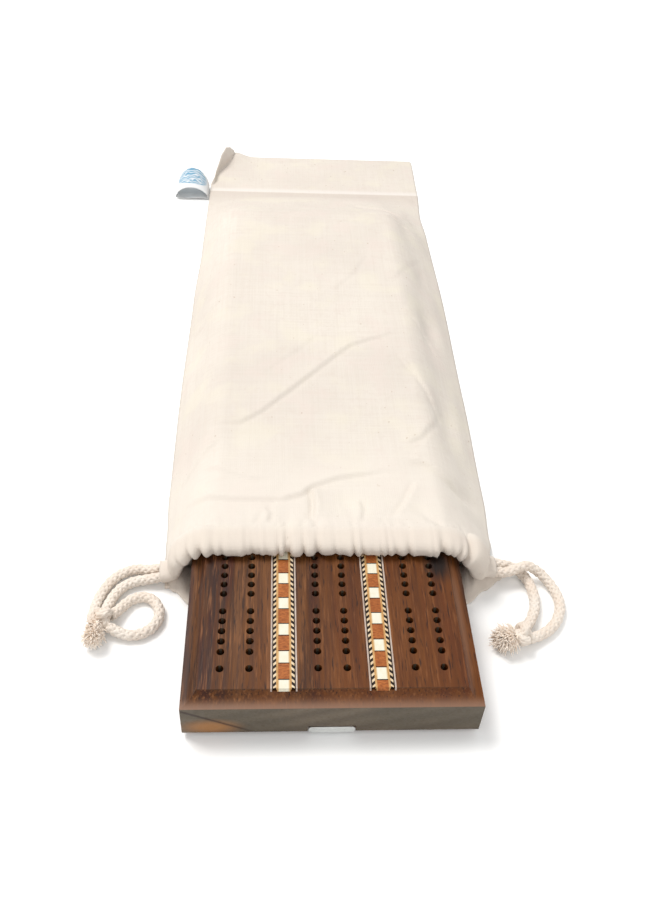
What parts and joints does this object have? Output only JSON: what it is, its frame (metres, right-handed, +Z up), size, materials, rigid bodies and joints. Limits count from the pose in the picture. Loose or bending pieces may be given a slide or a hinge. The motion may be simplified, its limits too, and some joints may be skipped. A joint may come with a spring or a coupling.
{
  "type": "cribbage board",
  "caption": "Flat walnut cribbage board with marquetry bandings, peg holes and a sliding peg cover, lying in a drawstring muslin bag.",
  "frame": {"origin": "on the table, under the middle of the board, on the underside of the bag's lower panel", "axes": "+Y along the board towards the closed end of the bag, +Z up out of the peg holes, +X to the right seen from the board's near end"},
  "size_m": [0.2111, 0.4901, 0.0292],
  "materials": {
    "walnut": "oiled open-grain walnut",
    "holly": "pale stringing, lacquered",
    "rope_marquetry": "cream and black rope marquetry",
    "amber_wood": "amber veneer line",
    "ivory_wood": "pale tile, lacquered",
    "brown_wood": "orange-brown tile, lacquered",
    "black_wood": "dyed black veneer",
    "steel": "brushed",
    "peg_brass": "turned, polished",
    "peg_nickel": "turned, polished",
    "peg_black": "black oxide",
    "muslin": "unbleached cotton muslin",
    "cotton_cord": "braided natural cotton",
    "label_tape": "woven tape with a plain blue printed patch"
  },
  "bodies": {
    "board": {"board_body": "walnut", "left_stringing": "holly", "left_rope_bands": "rope_marquetry", "left_amber_lines": "amber_wood", "left_ivory_tiles": "ivory_wood", "left_brown_tiles": "brown_wood", "left_dark_fillets": "black_wood", "right_stringing": "holly", "right_rope_bands": "rope_marquetry", "right_amber_lines": "amber_wood", "right_ivory_tiles": "ivory_wood", "right_brown_tiles": "brown_wood", "right_dark_fillets": "black_wood"},
    "cover": {"peg_cover": "steel"},
    "bag": {"bag_top_panel": "muslin", "bag_bottom_panel": "muslin", "bag_upper_casing": "muslin", "bag_lower_casing": "muslin", "pressed_drawcords": "cotton_cord", "cased_drawcords": "cotton_cord", "left_strand_a": "cotton_cord", "left_strand_b": "cotton_cord", "left_ring": "cotton_cord", "right_strand_c": "cotton_cord", "right_strand_d": "cotton_cord", "left_knot": "cotton_cord", "left_tuft": "cotton_cord", "right_knot": "cotton_cord", "right_tuft": "cotton_cord", "seam_label": "label_tape"},
    "peg_brass_1": {"peg_brass_1": "peg_brass"},
    "peg_brass_2": {"peg_brass_2": "peg_brass"},
    "peg_brass_3": {"peg_brass_3": "peg_brass"},
    "peg_nickel_1": {"peg_nickel_1": "peg_nickel"},
    "peg_nickel_2": {"peg_nickel_2": "peg_nickel"},
    "peg_nickel_3": {"peg_nickel_3": "peg_nickel"},
    "peg_black_1": {"peg_black_1": "peg_black"},
    "peg_black_2": {"peg_black_2": "peg_black"},
    "peg_black_3": {"peg_black_3": "peg_black"}
  },
  "joints": [
    {"name": "bag_slide", "type": "slide", "parent": "board", "child": "bag", "axis": [0, 1, 0], "range_m": [0, 0.31]},
    {"name": "cover_slide", "type": "slide", "parent": "board", "child": "cover", "axis": [0, -1, 0], "range_m": [0, 0.11]},
    {"name": "peg_brass_1_end_play", "type": "slide", "parent": "board", "child": "peg_brass_1", "axis": [0, 1, 0], "range_m": [0, 0.003]},
    {"name": "peg_brass_2_end_play", "type": "slide", "parent": "board", "child": "peg_brass_2", "axis": [0, 1, 0], "range_m": [0, 0.003]},
    {"name": "peg_brass_3_end_play", "type": "slide", "parent": "board", "child": "peg_brass_3", "axis": [0, 1, 0], "range_m": [0, 0.003]},
    {"name": "peg_nickel_1_end_play", "type": "slide", "parent": "board", "child": "peg_nickel_1", "axis": [0, 1, 0], "range_m": [0, 0.003]},
    {"name": "peg_nickel_2_end_play", "type": "slide", "parent": "board", "child": "peg_nickel_2", "axis": [0, 1, 0], "range_m": [0, 0.003]},
    {"name": "peg_nickel_3_end_play", "type": "slide", "parent": "board", "child": "peg_nickel_3", "axis": [0, 1, 0], "range_m": [0, 0.003]},
    {"name": "peg_black_1_end_play", "type": "slide", "parent": "board", "child": "peg_black_1", "axis": [0, 1, 0], "range_m": [0, 0.003]},
    {"name": "peg_black_2_end_play", "type": "slide", "parent": "board", "child": "peg_black_2", "axis": [0, 1, 0], "range_m": [0, 0.003]},
    {"name": "peg_black_3_end_play", "type": "slide", "parent": "board", "child": "peg_black_3", "axis": [0, 1, 0], "range_m": [0, 0.003]}
  ],
  "couplings": [
    {"joint": "peg_brass_2_end_play", "follows": "peg_brass_1_end_play", "ratio": 1},
    {"joint": "peg_brass_3_end_play", "follows": "peg_brass_1_end_play", "ratio": 1},
    {"joint": "peg_nickel_1_end_play", "follows": "peg_brass_1_end_play", "ratio": 1},
    {"joint": "peg_nickel_2_end_play", "follows": "peg_brass_1_end_play", "ratio": 1},
    {"joint": "peg_nickel_3_end_play", "follows": "peg_brass_1_end_play", "ratio": 1},
    {"joint": "peg_black_1_end_play", "follows": "peg_brass_1_end_play", "ratio": 1},
    {"joint": "peg_black_2_end_play", "follows": "peg_brass_1_end_play", "ratio": 1},
    {"joint": "peg_black_3_end_play", "follows": "peg_brass_1_end_play", "ratio": 1}
  ]
}
